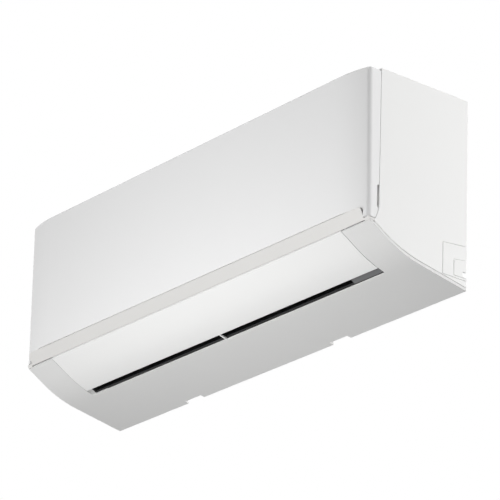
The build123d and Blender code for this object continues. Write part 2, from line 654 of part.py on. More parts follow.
def scroll_outline():
    """Scroll wall: gutter lip, volute and outlet floor, one wall thick."""
    def out(point, direction):
        length = hypot(direction.X, direction.Y)
        return (point[0] - WALL * direction.Y / length, point[1] + WALL * direction.X / length)

    down = Vector(SCROLL_TOP[0] - GUTTER_LIP[0], SCROLL_TOP[1] - GUTTER_LIP[1])
    inner = ThreePointArc(SCROLL_TOP, SCROLL_BACK, SCROLL_LOW)
    floor = TangentArc(SCROLL_LOW, SCROLL_LIP, tangent=inner % 1)
    Line(GUTTER_LIP, SCROLL_TOP)
    top = out(SCROLL_TOP, inner % 0)
    back = volute_point(0, FAN_R + 9 + WALL)
    low = out(SCROLL_LOW, inner % 1)
    lip = out(SCROLL_LIP, floor % 1)
    outer = ThreePointArc(top, back, low)
    TangentArc(low, lip, tangent=outer % 1)
    Line(SCROLL_LIP, lip)
    Polyline(GUTTER_LIP, out(GUTTER_LIP, down), top)


def pan_floor(back):
    """Underside of the drain pan's floor, which is the outlet duct's upper wall."""
    return 80.0 + (FRAME_REAR - 0.7 - back) * 11.0 / 42.8


END_WALL = [
    (-49.0, SHELF_UP + 1.0), (SCROLL_BACK[0] + WALL, FAN_UP - 12), (SCROLL_BACK[0] + WALL, FAN_UP + 12),
    (SCROLL_TOP[0] + 2, SCROLL_TOP[1] + 2), (-FAN_BACK, FAN_UP + FAN_R + 6), (-125, FAN_UP + FAN_R - 6),
    (-136.5, FAN_UP + 16), (-133.0, pan_floor(134) + 20.6), (-129.4, pan_floor(134) + 20.6),
    (-133.5, pan_floor(134) - FIT - 0.2),
    (-FRAME_REAR + 3.5, pan_floor(FRAME_REAR - 3.5) - FIT), (-PIVOT_BACK + 11, PIVOT_UP + 15), (-PIVOT_BACK + 15.5, PIVOT_UP - 8),
    (-138, 42), (-120, 32.5), (-SLOT_REAR - 2, SCROLL_LIP[1] + 0.4), (SCROLL_LIP[0], SCROLL_LIP[1] - 1),
    (-75, 40),
]
MOTOR_LEFT = DUCT_RIGHT + MOTOR_GAP
MOTOR_RIGHT = MOTOR_LEFT + MOTOR_LENGTH
CRADLE_R = MOTOR_R + FIT
CRADLE_OUT = CRADLE_R + 3.0
CHASSIS_HALF = HALF - WALL - FIT
CHASSIS_TOP = TOP_LOW - 1.5 - FIT


def vane_plane(x):
    """Plane at a vane's foot: first axis along the flow, second off the duct floor."""
    return Plane(
        origin=(x, vane_foot.X, Z_LOW + vane_foot.Y),
        x_dir=(0, vane_flow.X, vane_flow.Y),
        z_dir=(-1, 0, 0),
    )


def vane_station(group, index):
    """X of a vane: the left group ends and the right group starts half a pitch off centre."""
    if group == "left":
        return DUCT_CENTRE + (index - VANES_PER_GROUP + 0.5) * VANE_PITCH
    return DUCT_CENTRE + (index + 0.5) * VANE_PITCH


def vane_pin(x, low, high, radius, along=0.0):
    """Round pin face and its plane, for a pin that stands off the duct floor."""
    flow = vane_plane(x)
    base = flow.from_local_coords(Vector(along, low, 0))
    pin_plane = Plane(origin=base, x_dir=(1, 0, 0), z_dir=flow.y_dir)
    with BuildSketch(pin_plane) as face:
        Circle(radius)
    return extrude(face.sketch, amount=high - low, mode=Mode.PRIVATE)


with BuildPart() as chassis:
    # Rear wall, shelf over the pipe channel and rear gutter
    block(-CHASSIS_HALF, CHASSIS_HALF, BACK_WALL, BACK_WALL + WALL, SHELF_UP, CHASSIS_TOP)
    block(-CHASSIS_HALF, CHASSIS_HALF, BACK_WALL, 50.0, SHELF_UP, SHELF_UP + WALL)
    gutter = [(-BACK_WALL - WALL + 0.5, GUTTER_UP), (GUTTER_LIP[0], GUTTER_UP - 4),
              (GUTTER_LIP[0], GUTTER_UP - 4 + WALL), (-BACK_WALL - WALL + 0.5, GUTTER_UP + WALL)]
    prism(DUCT_LEFT - 3, DUCT_RIGHT + 3, gutter)
    # Fan scroll and outlet floor
    with BuildSketch(side_plane(DUCT_LEFT - 3)) as scroll:
        with BuildLine():
            scroll_outline()
        make_face()
    extrude(scroll.sketch, amount=DUCT_RIGHT - DUCT_LEFT + 6)
    # End walls of the fan chamber and duct
    prism(DUCT_LEFT - 3, DUCT_LEFT, END_WALL)
    prism(DUCT_RIGHT, DUCT_RIGHT + 3, END_WALL)
    rod(DUCT_LEFT - 4, DUCT_LEFT + 1, FAN_BACK, FAN_UP, BUSH_R + FIT, mode=Mode.SUBTRACT)
    rod(DUCT_RIGHT - 1, DUCT_RIGHT + 4, FAN_BACK, FAN_UP, 2.2 * SHAFT_R, mode=Mode.SUBTRACT)
    # Motor cradle
    web = [(-BACK_WALL - 1, SHELF_UP + 1), (-FAN_BACK, SHELF_UP + 10), (-FAN_BACK, FAN_UP),
           (-BACK_WALL - 1, FAN_UP)]
    for x in (MOTOR_LEFT + 6, MOTOR_RIGHT - 9):
        prism(x, x + 3, web)
    with BuildSketch(side_plane(MOTOR_LEFT)) as cradle:
        with Locations((-FAN_BACK, FAN_UP)):
            Circle(CRADLE_OUT)
        with Locations((-FAN_BACK, FAN_UP + HEIGHT / 2)):
            Rectangle(HEIGHT, HEIGHT, mode=Mode.SUBTRACT)
    extrude(cradle.sketch, amount=MOTOR_LENGTH)
    block(MOTOR_LEFT, MOTOR_RIGHT, FAN_BACK + CRADLE_OUT - 2, FAN_BACK + CRADLE_OUT + 8, FAN_UP - 3, FAN_UP)
    block(MOTOR_LEFT, MOTOR_RIGHT, FAN_BACK - CRADLE_OUT - 8, FAN_BACK - CRADLE_OUT + 2, FAN_UP - 3, FAN_UP)
    rod(MOTOR_LEFT - 1, MOTOR_RIGHT + 1, FAN_BACK, FAN_UP, CRADLE_R, mode=Mode.SUBTRACT)
    # Wall between the motor and the control box
    partition = [(-BACK_WALL - 1, SHELF_UP + 1), (-BACK_WALL - 1, 138), (-45, 138), (-45, 200),
                 (-120, 200), (-BOX_FRONT + 7, 150), (-BOX_FRONT + 7, 120), (-140, 112), (-120, 78), (-49, SHELF_UP + 1)]
    prism(BOX_LEFT - FIT - 3, BOX_LEFT - FIT, partition)
    block(MOTOR_RIGHT - 9, BOX_LEFT - FIT, BACK_WALL + 1, 50, SHELF_UP + 1, SHELF_UP + 8)
    # Blank cover over the outlet slot beside the duct
    blank = [(-SLOT_REAR + 1, LIP_RISE - 1), (-SLOT_REAR + 1, LIP_RISE + WALL - 1), (-121, 37.5), (-121, 35)]
    prism(DUCT_RIGHT + 2, LOUVER_HALF + 1, blank)
    # Windows that hang on the plate's hooks, and the way down for the pipes
    for x in (-HOOK_X, HOOK_X):
        block(x - HOOK_WIDTH / 2 - 2, x + HOOK_WIDTH / 2 + 2, 0, 30, PLATE_HIGH - 12,
              PLATE_HIGH + FIT, mode=Mode.SUBTRACT)
    block(PIPE_DROP_X - 16, PIPE_DROP_X + 16, BACK_WALL + WALL + 1, 60, SHELF_UP - 1, SHELF_UP + WALL + 1,
          mode=Mode.SUBTRACT)
    # Sockets for the vanes' pins
    for group in ("left", "right"):
        for index in range(VANES_PER_GROUP):
            add(vane_pin(vane_station(group, index), -8, 4, VANE_PIN_R + RUN), mode=Mode.SUBTRACT)
save(chassis, "chassis")

# ---------------------------------------------------------------- drain pan

PAN_LEFT = DUCT_LEFT - 6.5
PAN_RIGHT = DUCT_RIGHT + 12.0
PAN_WALL_UP = FILTER_LEDGE - WALL - 1.0
SPOUT_BACK = FRAME_REAR - 14.5
SPOUT_UP = 93.5
SPOUT_R = 7.0
PLUGGED_SPOUT_R = 7.6  # the end that the rubber plug closes
SPOUT_FLANGE = 1.0
SPOUT_BORE = 5.5
SPOUT_LENGTH = 18.0
PAN_FRONT = FRAME_REAR - 4.5
PAN_WALL_BACK = PAN_FRONT - WALL
PAN_NOSE = FRAME_REAR - 0.7
PAN_OUTLINE = [
    (-PAN_FRONT, PAN_WALL_UP), (-PAN_FRONT, pan_floor(PAN_FRONT) + 3.6), (-PAN_NOSE, pan_floor(PAN_NOSE) + 3.5),
    (-PAN_NOSE, pan_floor(PAN_NOSE)), (-134.0, pan_floor(134.0)), (-130.0, pan_floor(134.0) + 20),
    (-132.3, pan_floor(134.0) + 20), (-136.3, pan_floor(136.3) + 3.8),
    (-PAN_WALL_BACK, pan_floor(PAN_WALL_BACK) + 3.6), (-PAN_WALL_BACK, PAN_WALL_UP),
]

with BuildPart() as drain_pan:
    prism(PAN_LEFT, PAN_RIGHT, PAN_OUTLINE)
    end = [(-PAN_FRONT, PAN_WALL_UP), (-PAN_FRONT, pan_floor(PAN_FRONT) + 3), (-134.5, pan_floor(134.5) + 3),
           (-132.3, PAN_WALL_UP + 6)]
    prism(PAN_LEFT, PAN_LEFT + WALL, end)
    prism(PAN_RIGHT - WALL, PAN_RIGHT, end)
    # Drain spouts at both ends
    for x, out, radius in ((PAN_LEFT + WALL, -1, PLUGGED_SPOUT_R), (PAN_RIGHT - WALL, 1, SPOUT_R)):
        rod(x, x + out * WALL, SPOUT_BACK, SPOUT_UP, radius + SPOUT_FLANGE)
        rod(x, x + out * (SPOUT_LENGTH + WALL), SPOUT_BACK, SPOUT_UP, radius)
        rod(x - out * 10, x + out * (SPOUT_LENGTH + WALL + 1), SPOUT_BACK, SPOUT_UP, SPOUT_BORE,
            mode=Mode.SUBTRACT)
    # Bosses for the casing screws
    for x in CASING_SCREW_X:
        with BuildSketch(front_plane(FRAME_REAR - FIT)) as boss:
            with Locations((x, CASING_SCREW_UP)):
                Circle(4.5)
        extrude(boss.sketch, amount=-(FRAME_REAR - FIT - PAN_FRONT + WALL - 1))
        with BuildSketch(front_plane(FRAME_REAR)) as bore:
            with Locations((x, CASING_SCREW_UP)):
                Circle(SCREW_R + RUN)
        extrude(bore.sketch, amount=-12, mode=Mode.SUBTRACT)
save(drain_pan, "drain_pan")

with BuildPart() as drain_plug:
    rod(PAN_LEFT - SPOUT_LENGTH - 3, PAN_LEFT - SPOUT_LENGTH, SPOUT_BACK, SPOUT_UP, PLUGGED_SPOUT_R + 1)
    rod(PAN_LEFT - SPOUT_LENGTH - 1, PAN_LEFT - SPOUT_LENGTH + 10, SPOUT_BACK, SPOUT_UP, SPOUT_BORE - 0.1)
    fillet(drain_plug.edges().filter_by(GeomType.CIRCLE).sort_by(Axis.X)[0], radius=1)
save(drain_plug, "drain_plug")

# ---------------------------------------------------------------- coil

FIN_LEFT = DUCT_LEFT + COIL_END_GAP
FIN_RIGHT = DUCT_RIGHT - COIL_END_GAP - 1
COILS = {  # foot and head of each pack's middle line, in (depth, height), and its tubes per row
    "coil_front_lower": ((157.7, 102.0), (141.7, 186.0), 4),
    "coil_front_upper": ((136.8, 192.9), (99.2, 250.2), 3),
    "coil_rear": ((38.4, 198.7), (78.4, 251.7), 3),
}


def coil_frame(name):
    """Foot, unit vector along the pack, unit vector across it and length, in (y, height)."""
    foot, head, tubes = COILS[name]
    along = Vector(foot[0] - head[0], head[1] - foot[1])
    length = along.length
    along = along / length
    across = Vector(-along.Y, along.X)
    return Vector(-foot[0], foot[1]), along, across, length, tubes


def coil_corner(name, end, side):
    """Corner of a pack: end 0 at the foot or 1 at the head, side -1 or 1 across it."""
    foot, along, across, length, tubes = coil_frame(name)
    corner = foot + along * (length * end) + across * (side * COIL_THICK / 2)
    return (corner.X, corner.Y)


def tube_centres(name):
    """Tube centres of a pack, one pair across the two rows for each step along it."""
    foot, along, across, length, tubes = coil_frame(name)
    first = (length - (tubes - 1) * TUBE_PITCH) / 2
    pairs = []
    for step in range(tubes):
        middle = foot + along * (first + step * TUBE_PITCH)
        outer = middle + across * (ROW_PITCH / 2)
        inner = middle - across * (ROW_PITCH / 2)
        pairs.append(((outer.X, outer.Y), (inner.X, inner.Y)))
    return pairs


def coil_outline(name):
    return [coil_corner(name, 0, -1), coil_corner(name, 1, -1), coil_corner(name, 1, 1),
            coil_corner(name, 0, 1)]


def tube_holes(x0, x1, name, radius):
    with BuildSketch(side_plane(x0)) as holes:
        with Locations(*[centre for pair in tube_centres(name) for centre in pair]):
            Circle(radius)
    extrude(holes.sketch, amount=x1 - x0, mode=Mode.SUBTRACT)


for coil_name in COILS:
    with BuildPart() as fin_pack:
        prism(FIN_LEFT, FIN_RIGHT, coil_outline(coil_name))
        tube_holes(FIN_LEFT, FIN_RIGHT, coil_name, TUBE_R + 0.1)
    save(fin_pack, coil_name)


def end_plate(x):
    """Sheet that ties the three packs together, with feet on the pan and in the rear gutter."""
    with BuildPart(mode=Mode.PRIVATE) as plate:
        for name in COILS:
            prism(x, x + PLATE_THICK, coil_outline(name))
        lower, upper, rear = COILS
        low_in, low_out = coil_corner(lower, 1, -1), coil_corner(lower, 1, 1)
        prism(x, x + PLATE_THICK, [low_in, low_out, coil_corner(upper, 0, 1), coil_corner(upper, 0, -1)])
        prism(x, x + PLATE_THICK, [coil_corner(upper, 1, 1), coil_corner(upper, 1, -1),
                                   coil_corner(rear, 1, 1), coil_corner(rear, 1, -1)])
        prism(x, x + PLATE_THICK, [(-166.0, pan_floor(166.0) + 3.6 + FIT), (-151.0, pan_floor(151.0) + 3.8 + FIT),
                                   (-151.0, 106.0), (-166.0, 106.0)])
        prism(x, x + PLATE_THICK, [(-47.0, GUTTER_UP + WALL - 3.8 + FIT), (-33.0, GUTTER_UP + WALL - 2.0 + FIT),
                                   (-33.0, 204.0), (-44.0, 200.0)])
        for name in COILS:
            tube_holes(x, x + PLATE_THICK, name, TUBE_R + 0.1)
    return plate


coil_end_plate_left = end_plate(FIN_LEFT - PLATE_THICK - FIT)
save(coil_end_plate_left, "coil_end_plate_left")
coil_end_plate_right = end_plate(FIN_RIGHT + FIT)
save(coil_end_plate_right, "coil_end_plate_right")

TUBE_LEFT = FIN_LEFT - PLATE_THICK - 2.0
TUBE_RIGHT = FIN_RIGHT + PLATE_THICK + 2.0


def at(x, point):
    """Point in space from a station and a (-depth, height) pair."""
    return (x, point[0], Z_LOW + point[1])


def bend(first, second, x, out):
    """Half-round bend between two tube ends at a station, towards out."""
    a, b = Vector(*at(x, first)), Vector(*at(x, second))
    crown = (a + b) / 2 + Vector(out * (b - a).length / 2, 0, 0)
    return ThreePointArc(a, crown, b, mode=Mode.PRIVATE)


def tube_along(path, radius):
    """Round tube along a path."""
    ring = Circle(radius, mode=Mode.PRIVATE) - Circle(radius - TUBE_WALL, mode=Mode.PRIVATE)
    return sweep(Plane(origin=path @ 0, z_dir=path % 0) * ring, path=path, mode=Mode.PRIVATE)


hairpin_parts = []
return_parts = []
for coil_name in COILS:
    pairs = tube_centres(coil_name)
    for outer, inner in pairs:
        run_out = Line(at(TUBE_RIGHT, outer), at(TUBE_LEFT, outer), mode=Mode.PRIVATE)
        run_back = Line(at(TUBE_LEFT, inner), at(TUBE_RIGHT, inner), mode=Mode.PRIVATE)
        hairpin_parts.append(tube_along(Wire([run_out, bend(outer, inner, TUBE_LEFT, -1), run_back]), TUBE_R))
    for (outer, inner), (next_outer, next_inner) in zip(pairs, pairs[1:]):
        return_parts.append(tube_along(Wire([bend(inner, next_outer, TUBE_RIGHT, 1)]), TUBE_R))

# One circuit: in at the front foot, over the top, out at the rear foot
lower_pairs, upper_pairs, rear_pairs = [tube_centres(coil_name) for coil_name in COILS]
for start, finish in ((lower_pairs[-1][1], upper_pairs[0][0]), (upper_pairs[-1][1], rear_pairs[-1][1])):
    return_parts.append(tube_along(Wire([bend(start, finish, TUBE_RIGHT, 1)]), TUBE_R))

coil_hairpins = Compound(label="coil_hairpins", children=[Solid(part.solid().wrapped) for part in hairpin_parts])
export_step(coil_hairpins, "parts/coil_hairpins.step")
coil_return_bends = Compound(
    label="coil_return_bends", children=[Solid(part.solid().wrapped) for part in return_parts]
)
export_step(coil_return_bends, "parts/coil_return_bends.step")

# ---------------------------------------------------------------- pipes

GAS_START = rear_pairs[0][0]
LIQUID_START = lower_pairs[0][0]
CROSS_UP = 198.0  # height at which the liquid pipe passes over the motor


def pipe_route(points, back, up, bend_r):
    """From the coil's end beside the rear wall, down and along the pipe channel."""
    return FilletPolyline(
        *points, at(PIPE_DROP_X, (-back, SHELF_UP + 75)), at(PIPE_DROP_X, (-back, up)),
        at(PIPE_END_X, (-back, up)), radius=bend_r, mode=Mode.PRIVATE,
    )


GAS_RISE_X = MOTOR_LEFT + 18.0
LIQUID_RISE_X = MOTOR_RIGHT - 10.0
gas_points = [at(TUBE_RIGHT, GAS_START), at(GAS_RISE_X, GAS_START),
              at(GAS_RISE_X, (-GAS_BACK, GAS_START[1] - 25))]
gas_tube = tube_along(pipe_route(gas_points, GAS_BACK, GAS_UP, 14.0), GAS_R)
liquid_points = [at(TUBE_RIGHT, LIQUID_START), at(LIQUID_RISE_X, LIQUID_START),
                 at(LIQUID_RISE_X, (LIQUID_START[0], CROSS_UP)), at(LIQUID_RISE_X, (-LIQUID_BACK, CROSS_UP))]
liquid_tube = tube_along(pipe_route(liquid_points, LIQUID_BACK, LIQUID_UP, 10.0), LIQUID_R)

with BuildPart() as gas_pipe:
    add(gas_tube)
save(gas_pipe, "gas_pipe")

with BuildPart() as liquid_pipe:
    add(liquid_tube)
save(liquid_pipe, "liquid_pipe")


def flare_nut(back, up, nut_r, thread_r, pipe_r):
    """Hexagonal nut on a pipe's end: threaded mouth, then a bore that clears the pipe."""
    with BuildPart(mode=Mode.PRIVATE) as nut:
        with BuildSketch(side_plane(PIPE_END_X - NUT_BORE)) as hexagon:
            with Locations((-back, up)):
                RegularPolygon(nut_r, 6)
        extrude(hexagon.sketch, amount=NUT_LENGTH)
        rod(PIPE_END_X - NUT_BORE, PIPE_END_X - FIT, back, up, thread_r, mode=Mode.SUBTRACT)
        rod(PIPE_END_X - FIT - 1, PIPE_END_X + NUT_LENGTH, back, up, pipe_r + 0.1, mode=Mode.SUBTRACT)
    return nut


gas_flare_nut = flare_nut(GAS_BACK, GAS_UP, GAS_NUT_R, GAS_THREAD_R, GAS_R)
save(gas_flare_nut, "gas_flare_nut")
liquid_flare_nut = flare_nut(LIQUID_BACK, LIQUID_UP, LIQUID_NUT_R, LIQUID_THREAD_R, LIQUID_R)
save(liquid_flare_nut, "liquid_flare_nut")

with BuildPart() as pipe_clamps:
    for x in (PIPE_END_X + 70, PIPE_DROP_X - 122):
        clamp = [(-GAS_BACK + 8, SHELF_UP - FIT), (-GAS_BACK + 8, GAS_UP - 8), (-LIQUID_BACK + 6, LIQUID_UP - 7),
                 (-LIQUID_BACK - 7, LIQUID_UP - 7), (-LIQUID_BACK - 7, SHELF_UP - FIT)]
        prism(x, x + 12, clamp)
        rod(x - 1, x + 13, GAS_BACK, GAS_UP, GAS_R + 0.2, mode=Mode.SUBTRACT)
        rod(x - 1, x + 13, LIQUID_BACK, LIQUID_UP, LIQUID_R + 0.2, mode=Mode.SUBTRACT)
save(pipe_clamps, "pipe_clamps")

with BuildPart() as pipe_sensor:
    with Locations(Location(at(TUBE_RIGHT + 12, (GAS_START[0], GAS_START[1] - GAS_R - 3 - FIT)))):
        Cylinder(3, 20, rotation=(0, 90, 0))
    fillet(pipe_sensor.edges().filter_by(GeomType.CIRCLE), radius=1.2)
save(pipe_sensor, "pipe_sensor")

# ---------------------------------------------------------------- fan

WHEEL_LEFT = DUCT_LEFT + FAN_END_GAP
WHEEL_RIGHT = DUCT_RIGHT - FAN_END_GAP
DISC = 2.2
HUB_R = 9.0

blade_arc = ThreePointArc(
    (FAN_INNER_R, 0), ((FAN_INNER_R + FAN_R) / 2, 1.4), (FAN_R - 1.2, 6.0), mode=Mode.PRIVATE
)

with BuildPart() as fan_wheel:
    with BuildSketch(side_plane(WHEEL_LEFT)) as blades:
        with Locations((-FAN_BACK, FAN_UP)):
            with PolarLocations(0, FAN_BLADES):
                SlotArc(arc=blade_arc, height=1.3)
    extrude(blades.sketch, amount=WHEEL_RIGHT - WHEEL_LEFT)
    for index in range(FAN_DISCS):
        x = WHEEL_LEFT + index * (WHEEL_RIGHT - WHEEL_LEFT - DISC) / (FAN_DISCS - 1)
        with BuildSketch(side_plane(x)) as disc:
            with Locations((-FAN_BACK, FAN_UP)):
                Circle(FAN_R)
                if 0 < index < FAN_DISCS - 1:
                    Circle(FAN_INNER_R - 2, mode=Mode.SUBTRACT)
        extrude(disc.sketch, amount=DISC)
    rod(WHEEL_LEFT, WHEEL_LEFT + 14, FAN_BACK, FAN_UP, HUB_R)
    rod(WHEEL_RIGHT - 22, WHEEL_RIGHT, FAN_BACK, FAN_UP, HUB_R)
    rod(WHEEL_LEFT - 1, WHEEL_LEFT + 12, FAN_BACK, FAN_UP, SHAFT_R + 0.01, mode=Mode.SUBTRACT)
    rod(WHEEL_RIGHT - 20, WHEEL_RIGHT + 1, FAN_BACK, FAN_UP, SHAFT_R + 0.01, mode=Mode.SUBTRACT)
    with Locations(Location(at(WHEEL_RIGHT - 12, (-FAN_BACK, FAN_UP + HUB_R / 2 + 2)))):
        Cylinder(2.05, HUB_R, mode=Mode.SUBTRACT)
save(fan_wheel, "fan_wheel")

with BuildPart() as fan_end_pin:
    rod(DUCT_LEFT - 6, WHEEL_LEFT + 12, FAN_BACK, FAN_UP, SHAFT_R)
save(fan_end_pin, "fan_end_pin")

with BuildPart() as fan_bush:
    rod(DUCT_LEFT - 7, DUCT_LEFT + 2, FAN_BACK, FAN_UP, BUSH_R)
    rod(DUCT_LEFT - 8, DUCT_LEFT + 3, FAN_BACK, FAN_UP, SHAFT_R + RUN, mode=Mode.SUBTRACT)
save(fan_bush, "fan_bush")

with BuildPart() as fan_shaft:
    rod(WHEEL_RIGHT - 20, MOTOR_RIGHT - 6, FAN_BACK, FAN_UP, SHAFT_R)
save(fan_shaft, "fan_shaft")

with BuildPart() as fan_grub_screw:
    with Locations(Location(at(WHEEL_RIGHT - 12, (-FAN_BACK, FAN_UP + SHAFT_R + 3.2)))):
        Cylinder(2.0, 6.0)
        with Locations((0, 0, 3)):
            Cylinder(1.0, 3.0, mode=Mode.SUBTRACT)
save(fan_grub_screw, "fan_grub_screw")

with BuildPart() as fan_motor:
    rod(MOTOR_LEFT + 2, MOTOR_RIGHT - 2, FAN_BACK, FAN_UP, MOTOR_R)
    fillet(fan_motor.edges().filter_by(GeomType.CIRCLE), radius=4)
    rod(MOTOR_LEFT, MOTOR_RIGHT - 1, FAN_BACK, FAN_UP, 13)
    rod(MOTOR_LEFT - 1, MOTOR_RIGHT - 5, FAN_BACK, FAN_UP, SHAFT_R + RUN, mode=Mode.SUBTRACT)
save(fan_motor, "fan_motor")

with BuildPart() as motor_clamp:
    with BuildSketch(side_plane(MOTOR_LEFT + 8)) as strap:
        with Locations((-FAN_BACK, FAN_UP)):
            Circle(CRADLE_R + 2)
            Circle(CRADLE_R, mode=Mode.SUBTRACT)
        for side in (-1, 1):
            with Locations((-FAN_BACK + side * (CRADLE_R + 6), FAN_UP + 1.4)):
                Rectangle(12, 2.2)
        with Locations((-FAN_BACK, FAN_UP - HEIGHT / 2 + FIT)):
            Rectangle(HEIGHT, HEIGHT, mode=Mode.SUBTRACT)
        with Locations((-FAN_BACK, FAN_UP)):
            Circle(CRADLE_R, mode=Mode.SUBTRACT)
    extrude(strap.sketch, amount=MOTOR_LENGTH - 16)
save(motor_clamp, "motor_clamp")

# ---------------------------------------------------------------- louver

with BuildPart() as louver:
    skin(-LOUVER_HALF, LOUVER_HALF, 0, LOUVER_THICK, LOUVER_REAR, LOUVER_FRONT)
    arm = [(-LOUVER_FRONT + 1, under_front(LOUVER_FRONT - 1) + 1), (-PIVOT_BACK - BOSS_R, PIVOT_UP),
           (-PIVOT_BACK + BOSS_R, PIVOT_UP), (-LOUVER_REAR - 14, under_front(LOUVER_REAR + 24) + 2),
           (-LOUVER_REAR - 14, under_front(LOUVER_REAR + 24) - 3),
           (-PIVOT_BACK, under_front(PIVOT_BACK) + 1)]
    for side in (-1, 1):
        prism(side * (LOUVER_HALF - 5), side * LOUVER_HALF, arm)
        rod(side * (LOUVER_HALF - 5), side * LOUVER_HALF, PIVOT_BACK, PIVOT_UP, BOSS_R)
    rod(-LOUVER_HALF, -CHEEK_X - CHEEK_THICK + 0.2, PIVOT_BACK, PIVOT_UP, PIVOT_R)
    rod(LOUVER_HALF - 4, LOUVER_HALF + 1, PIVOT_BACK, PIVOT_UP, PIVOT_R + 0.01, mode=Mode.SUBTRACT)
save(louver, "louver")

STEPPER_LEFT = CHEEK_X + CHEEK_THICK + FIT
STEPPER_R = 14.0
STEPPER_LENGTH = 18.8
STEPPER_BACK = PIVOT_BACK - 3.0
STEPPER_UP = PIVOT_UP + 7.4

with BuildPart() as louver_motor_shaft:
    rod(LOUVER_HALF - 4, STEPPER_LEFT + 6, PIVOT_BACK, PIVOT_UP, PIVOT_R)
save(louver_motor_shaft, "louver_motor_shaft")

with BuildPart() as louver_motor:
    rod(STEPPER_LEFT + 1, STEPPER_LEFT + STEPPER_LENGTH, STEPPER_BACK, STEPPER_UP, STEPPER_R)
    rod(STEPPER_LEFT, STEPPER_LEFT + 2, PIVOT_BACK, PIVOT_UP, 4.5)
    block(STEPPER_LEFT, STEPPER_LEFT + 1, STEPPER_BACK - 14, STEPPER_BACK + 10, STEPPER_UP - 2, STEPPER_UP + 5)
    block(STEPPER_LEFT + 2, STEPPER_LEFT + 17, STEPPER_BACK - 17, STEPPER_BACK, STEPPER_UP - 7, STEPPER_UP + 7)
    rod(STEPPER_LEFT - 1, STEPPER_LEFT + 7, PIVOT_BACK, PIVOT_UP, PIVOT_R + RUN, mode=Mode.SUBTRACT)
save(louver_motor, "louver_motor")

# ---------------------------------------------------------------- vertical vanes

VANE_TOP = VANE_RISE + VANE_HEIGHT
BAR_LOW = VANE_TOP + 0.5


def make_vane(x):
    """Vane: a rounded plate on a pin in the duct floor, with a link pin on its free edge."""
    with BuildPart(mode=Mode.PRIVATE) as vane:
        with BuildSketch(vane_plane(x).offset(-VANE_THICK / 2)) as blade:
            with Locations(((VANE_FRONT - VANE_BACK) / 2, VANE_RISE + VANE_HEIGHT / 2)):
                RectangleRounded(VANE_FRONT + VANE_BACK, VANE_HEIGHT, 4)
        extrude(blade.sketch, amount=VANE_THICK)
        add(vane_pin(x, -1.8, VANE_RISE + 1, VANE_PIN_R))
        add(vane_pin(x, 0.8, VANE_RISE + 1, 2 * VANE_PIN_R))
        add(vane_pin(x, VANE_TOP - 2, BAR_LOW + LINK_THICK + 0.6, VANE_PIN_R, along=LINK_ARM))
    return vane


def make_link_bar(group):
    """Bar over one group's free edges, with a hole for each vane's link pin."""
    first = vane_station(group, 0)
    last = vane_station(group, VANES_PER_GROUP - 1)
    flow = vane_plane(0)
    centre = flow.from_local_coords(Vector(LINK_ARM, BAR_LOW, -(first + last) / 2))
    with BuildPart(mode=Mode.PRIVATE) as bar:
        with BuildSketch(Plane(origin=centre, x_dir=(1, 0, 0), z_dir=flow.y_dir)) as outline:
            SlotOverall(last - first + LINK_WIDTH + 4, LINK_WIDTH)
            with GridLocations(VANE_PITCH, 1, VANES_PER_GROUP, 1):
                Circle(VANE_PIN_R + RUN, mode=Mode.SUBTRACT)
        extrude(outline.sketch, amount=LINK_THICK)
    return bar


for group in ("left", "right"):
    for index in range(VANES_PER_GROUP):
        save(make_vane(vane_station(group, index)), f"vane_{group}_{index + 1}")
    save(make_link_bar(group), f"link_bar_{group}")

# ---------------------------------------------------------------- mounting plate

with BuildPart() as mounting_plate:
    with BuildSketch(front_plane(0)) as sheet:
        with Locations((0, (PLATE_LOW + PLATE_HIGH) / 2)):
            RectangleRounded(PLATE_WIDTH, PLATE_HIGH - PLATE_LOW, 8)
        with Locations((0, SCREW_CENTRE_UP)):
            with GridLocations(SCREW_SPAN_X, SCREW_SPAN_Z, 2, 2):
                Circle(SCREW_HOLE_R, mode=Mode.SUBTRACT)
            with GridLocations(88, 1, 4, 1):
                RectangleRounded(62, 74, 8, mode=Mode.SUBTRACT)
        for x in (CATCH_LEFT_X, CATCH_RIGHT_X):
            with Locations((x, PLATE_LOW - 12)):
                Rectangle(CATCH_WIDTH, 28)
    extrude(sheet.sketch, amount=PLATE_SHEET)
    # Hooks: a tongue through the chassis's window, turned up behind its wall
    for x in (-HOOK_X, HOOK_X):
        x0, x1 = x - HOOK_WIDTH / 2, x + HOOK_WIDTH / 2
        reach = BACK_WALL + WALL + FIT
        block(x0, x1, 0, reach + PLATE_SHEET, PLATE_HIGH - PLATE_SHEET, PLATE_HIGH)
        block(x0, x1, reach, reach + PLATE_SHEET, PLATE_HIGH - PLATE_SHEET, PLATE_HIGH + HOOK_LIP)
    # Lower catches
    for x in (CATCH_LEFT_X, CATCH_RIGHT_X):
        x0, x1 = x - CATCH_WIDTH / 2, x + CATCH_WIDTH / 2
        block(x0, x1, 0, 5, PLATE_LOW - 26, PLATE_LOW - 26 + PLATE_SHEET)
    # Stiffening ridges along the top and bottom edges
    for up in (PLATE_LOW + 10, PLATE_HIGH - 20):
        block(-PLATE_WIDTH / 2 + 20, PLATE_WIDTH / 2 - 20, PLATE_SHEET - 0.2, 3.4, up, up + 3)
save(mounting_plate, "mounting_plate")

# ---------------------------------------------------------------- electrics

with BuildPart() as control_box:
    block(BOX_LEFT, BOX_RIGHT, BOX_BACK, BOX_FRONT, BOX_LOW, BOX_HIGH)
    block(BOX_LEFT + BOX_WALL, BOX_RIGHT - BOX_WALL, BOX_BACK + BOX_WALL, BOX_FRONT + 1, BOX_LOW + BOX_WALL,
          BOX_HIGH - BOX_WALL, mode=Mode.SUBTRACT)
save(control_box, "control_box")

